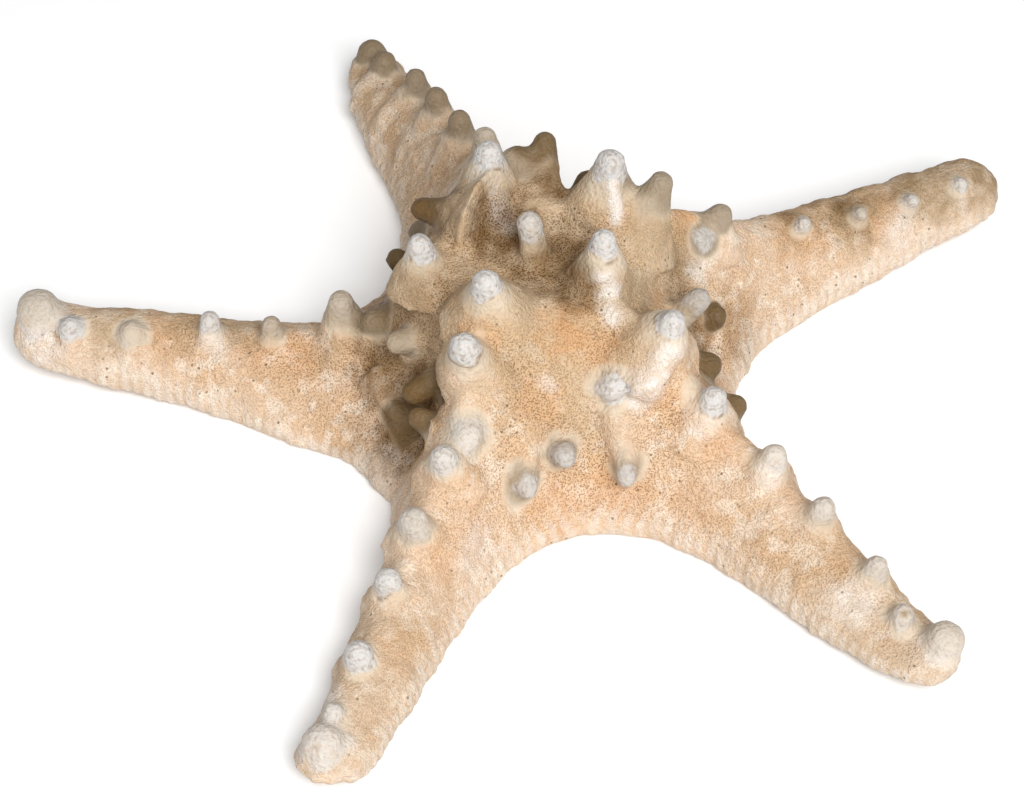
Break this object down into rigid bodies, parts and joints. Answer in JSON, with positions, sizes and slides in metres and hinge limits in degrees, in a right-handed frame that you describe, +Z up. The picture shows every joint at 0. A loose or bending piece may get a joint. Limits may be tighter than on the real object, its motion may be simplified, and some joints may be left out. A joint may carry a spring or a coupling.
{
  "type": "dried starfish",
  "caption": "Dried knobby starfish with tapering ridged arms, a tall disc and blunt knobs along the crests, lying flat on its underside.",
  "frame": {"origin": "centre of the bounding box in plan, on the flat underside that rests on the table", "axes": "+Z up out of the underside, +X to the right and +Y away from the viewer as in the picture"},
  "size_m": [0.1694, 0.1666, 0.0427],
  "materials": {
    "dried_skin": "dry matt skin over a limy skeleton, chalky white on the knob tips"
  },
  "bodies": {
    "root": {"starfish": "dried_skin"}
  },
  "joints": []
}
